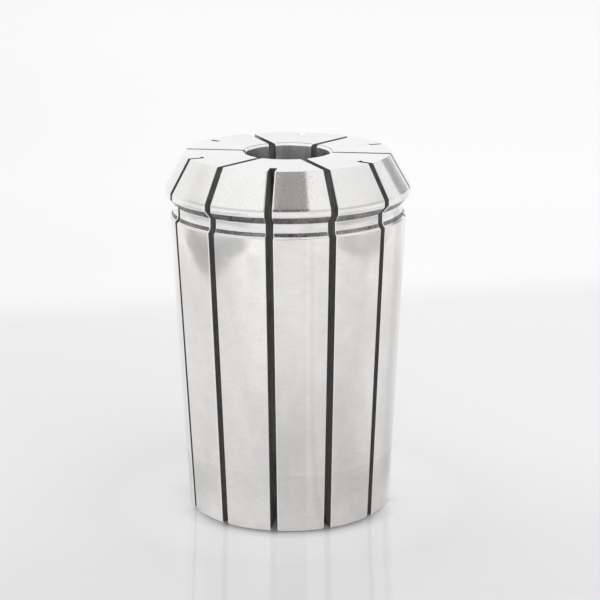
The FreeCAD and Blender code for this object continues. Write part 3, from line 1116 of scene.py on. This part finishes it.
def floor_material(stage):
    """Glossy white board on a white surface, paler towards the board's edges, with painted light
    and shade in its colour.
    """
    material, nodes, shader = new_material("floor", stage.backdrop, FLOOR_GLOSS)
    _, across, along, _ = object_place(nodes, -stage.board_turn)
    reach = nodes.math("MAXIMUM", nodes.math("ABSOLUTE", across), nodes.math("ABSOLUTE", along))
    # Painted light and shade along the board: darkest a little in front of the collet.
    tone = nodes.tones(along, BOARD_TONES, stage.board_near, stage.board_far)
    past = nodes.minus(reach, stage.board_half)
    outside = nodes.tones(past, EDGE_TONES)
    board = nodes.mix(outside, tone, (*stage.backdrop, 1.0))
    mirrored = nodes.add("ShaderNodeLightPath").outputs["Is Glossy Ray"]
    # Painted light: the right side of the board is lighter than the left.
    tilt = nodes.ramp(across, -TILT_REACH, TILT_REACH, 1.0 - BOARD_LIGHT_TILT, 1.0 + BOARD_LIGHT_TILT)
    by_steel, by_eye, by_all = floor_lights(nodes, stage)
    by_one = nodes.mix(mirrored, by_eye, by_steel)
    light = nodes.times(nodes.times(tilt, by_all), by_one)
    nodes.put(shader["Base Color"], nodes.scaled(board, grey(nodes, light)))
    shader["Specular IOR Level"].default_value = FLOOR_SHEEN
    return material


def spot_light(nodes, right, ahead, spot):
    """A soft oval of more or less light on the floor."""
    middle_right, middle_ahead, half_width, half_depth, strength = spot
    across = nodes.math("DIVIDE", nodes.minus(right, middle_right), half_width)
    along = nodes.math("DIVIDE", nodes.minus(ahead, middle_ahead), half_depth)
    return nodes.ramp(from_middle(nodes, across, along), 1.0, SPOT_CORE, 0.0, strength)


def light_round(nodes, right, ahead, stops):
    """How bright the surroundings are by the way from the collet."""
    turn = nodes.math("ARCTAN2", right, nodes.times(ahead, -1.0))
    stops = [(math.radians(way), light / LIGHT_TOP) for way, light in stops]
    return nodes.times(nodes.tones(turn, stops), LIGHT_TOP)


def floor_lights(nodes, stage):
    """How bright the floor is to the mirroring steel alone, to the eye alone, and to all."""
    _, right, ahead, _ = object_place(nodes, -stage.camera_azimuth)
    total = 0.0
    for way, edge, half, dark in SIDE_SHADES:
        c, s = math.cos(math.radians(way)), math.sin(math.radians(way))
        out = nodes.math("MULTIPLY_ADD", right, c, nodes.times(ahead, s))
        along = nodes.math("MULTIPLY_ADD", ahead, c, nodes.times(right, -s))
        near = nodes.ramp(out, edge - SHADE_EDGE, edge + SHADE_EDGE)
        far = nodes.ramp(out, edge + 2 * SHADE_FADE, edge + SHADE_FADE)
        inside = nodes.ramp(nodes.math("ABSOLUTE", along), half + SHADE_FADE, half)
        shade = nodes.times(nodes.times(near, far), inside)
        total = nodes.math("MULTIPLY_ADD", shade, dark, total)
    by_steel = light_round(nodes, right, ahead, FLOOR_ROUND)
    by_steel = nodes.times(by_steel, nodes.minus(1.0, total))
    for spot in STEEL_LIGHTS:
        by_steel = nodes.plus(by_steel, spot_light(nodes, right, ahead, spot))
    away = from_middle(nodes, right, ahead)
    beyond = nodes.ramp(away, *BEYOND_REACH, 1.0, BEYOND_LIGHT)
    near, far = FOOT_LIGHT_REACH
    foot = nodes.ramp(away, far, near, 1.0, 1.0 + FOOT_LIGHT)
    by_all = nodes.plus(foot, spot_light(nodes, right, ahead, FRONT_LIGHT))
    contact = nodes.tones(away, CONTACT_TONES)
    by_eye = nodes.mix(nodes.ramp(ahead, *CONTACT_FRONT), (*WHITE, 1.0), contact)
    return nodes.times(by_steel, beyond), by_eye, by_all


def make_floor(stage):
    drop = Matrix.Translation((0.0, 0.0, FLOOR_DROP))
    flat_piece("floor", FLOOR_HALF, FLOOR_HALF, drop, floor_material(stage))


def make_sky(stage):
    """Even white surroundings, with a greyer band low down and a lean that the steel mirrors."""
    world = bpy.data.worlds.new("surroundings")
    world.use_nodes = True
    nodes = Nodes(world.node_tree)
    way = nodes.add("ShaderNodeTexCoord").outputs["Generated"]
    right, ahead, up = split(nodes, way, -stage.camera_azimuth)
    low = nodes.ramp(up, math.sin(LOW_BAND_TOP), math.sin(LOW_BAND_FOOT))
    before = nodes.ramp(ahead, *LOW_BAND_BACK)
    path = nodes.add("ShaderNodeLightPath").outputs
    hidden = nodes.minus(1.0, path["Is Camera Ray"])
    band = nodes.times(nodes.times(low, before), hidden)
    banded = nodes.mix(band, (*WHITE, 1.0), (LOW_BAND, LOW_BAND, LOW_BAND, 1.0))
    around = light_round(nodes, right, ahead, SKY_ROUND)
    lean = nodes.mix(path["Is Glossy Ray"], (*WHITE, 1.0), around)
    background = world.node_tree.nodes["Background"]
    nodes.put(background.inputs["Color"], nodes.scaled(banded, lean))
    background.inputs["Strength"].default_value = stage.sky
    bpy.context.scene.world = world


def flag_material(name, tone):
    """A dark surface of the studio, uneven as things behind a camera are."""
    material, nodes, shader = new_material(name, tone, FLAG_ROUGHNESS)
    dark, light = (
        (*(c * share for c in tone), 1.0) for share in (1 - FLAG_UNEVEN, 1 + FLAG_UNEVEN)
    )
    uneven = nodes.ramp(nodes.noise(object_place(nodes)[0], FLAG_SCALE, 4.0), *FLAG_RANGE)
    nodes.put(shader["Base Color"], nodes.mix(uneven, dark, light))
    return material


def make_flags(stage):
    """Panels, unseen by the camera, that stand for what the bright steel mirrors."""
    for name, azimuth, low, high, half, tone in FLAGS:
        elevation = math.radians((low + high) / 2)
        height = FLAG_DISTANCE * math.tan(math.radians((high - low) / 2))
        width = FLAG_DISTANCE * math.tan(math.radians(half)) * math.cos(elevation)
        away = direction(stage.camera_azimuth + math.radians(azimuth), elevation)
        facing = away.to_track_quat("Z", "Y").to_matrix().to_4x4()
        place = Matrix.Translation(MIDDLE + away * FLAG_DISTANCE) @ facing
        flag = flat_piece(name, width, height, place, flag_material(name, tone))
        flag.visible_camera = False
        flag.visible_diffuse = False
        flag.visible_shadow = False


def make_lamp(name, azimuth, elevation, distance, size, power):
    """A square soft lamp aimed at the collet."""
    data = bpy.data.lights.new(name, "AREA")
    data.shape = "SQUARE"
    data.size = size
    data.energy = power
    lamp = bpy.data.objects.new(name, data)
    away = direction(azimuth, elevation)
    lamp.location = away * distance
    lamp.rotation_mode = "QUATERNION"
    lamp.rotation_quaternion = away.to_track_quat("Z", "Y")
    bpy.context.scene.collection.objects.link(lamp)
    lamp.visible_glossy = False


def make_camera(stage):
    """The camera at the photograph's angle: aimed at the collet, then turned a little."""
    away = direction(stage.camera_azimuth, stage.camera_elevation)
    data = bpy.data.cameras.new("camera")
    data.sensor_width = SENSOR
    data.lens = stage.camera_focal * SENSOR / FRAME_PIXELS
    camera = bpy.data.objects.new("camera", data)
    aim = away.to_track_quat("Z", "Y").to_matrix()
    pan = Matrix.Rotation(-stage.camera_pan, 3, "Y")
    tilt = Matrix.Rotation(stage.camera_tilt, 3, "X")
    roll = Matrix.Rotation(stage.camera_roll, 3, "Z")
    place = Matrix.Translation(MIDDLE + away * stage.camera_distance)
    camera.matrix_world = place @ (aim @ pan @ tilt @ roll).to_4x4()
    bpy.context.scene.collection.objects.link(camera)
    bpy.context.scene.camera = camera


class COLLET_OT_stage(bpy.types.Operator):
    """Build the floor, the surroundings, the lamp and the camera"""

    bl_idname = "collet.stage"
    bl_label = "Stage"

    def execute(self, context):
        stage = context.scene.collet_stage
        make_floor(stage)
        make_sky(stage)
        make_flags(stage)
        make_lamp("soft_lamp", *LAMP)
        make_camera(stage)
        context.scene.view_settings.view_transform = "Standard"
        return {"FINISHED"}


class COLLET_PT_panel(bpy.types.Panel):
    """The collet's settings and operators"""

    bl_idname = "COLLET_PT_panel"
    bl_label = "Spring collet"
    bl_space_type = "VIEW_3D"
    bl_region_type = "UI"
    bl_category = "Collet"

    def draw(self, context):
        for operator in OPERATORS:
            self.layout.operator(operator.bl_idname)
        for name in GROUPS:
            group = getattr(context.scene, name)
            box = self.layout.box()
            for setting in group.__annotations__:
                box.prop(group, setting)


GROUPS = {"collet_sizes": ColletSizes, "collet_finish": ColletFinish, "collet_stage": ColletStage}
OPERATORS = (COLLET_OT_body, COLLET_OT_stage)


def register():
    for name, group in GROUPS.items():
        bpy.utils.register_class(group)
        setattr(bpy.types.Scene, name, PointerProperty(type=group))
    for item in (*OPERATORS, COLLET_PT_panel):
        bpy.utils.register_class(item)


def unregister():
    for item in (COLLET_PT_panel, *reversed(OPERATORS)):
        bpy.utils.unregister_class(item)
    for name, group in GROUPS.items():
        delattr(bpy.types.Scene, name)
        bpy.utils.unregister_class(group)


def main():
    register()
    bpy.ops.collet.body()
    bpy.ops.collet.stage()


if __name__ == "__main__":
    main()
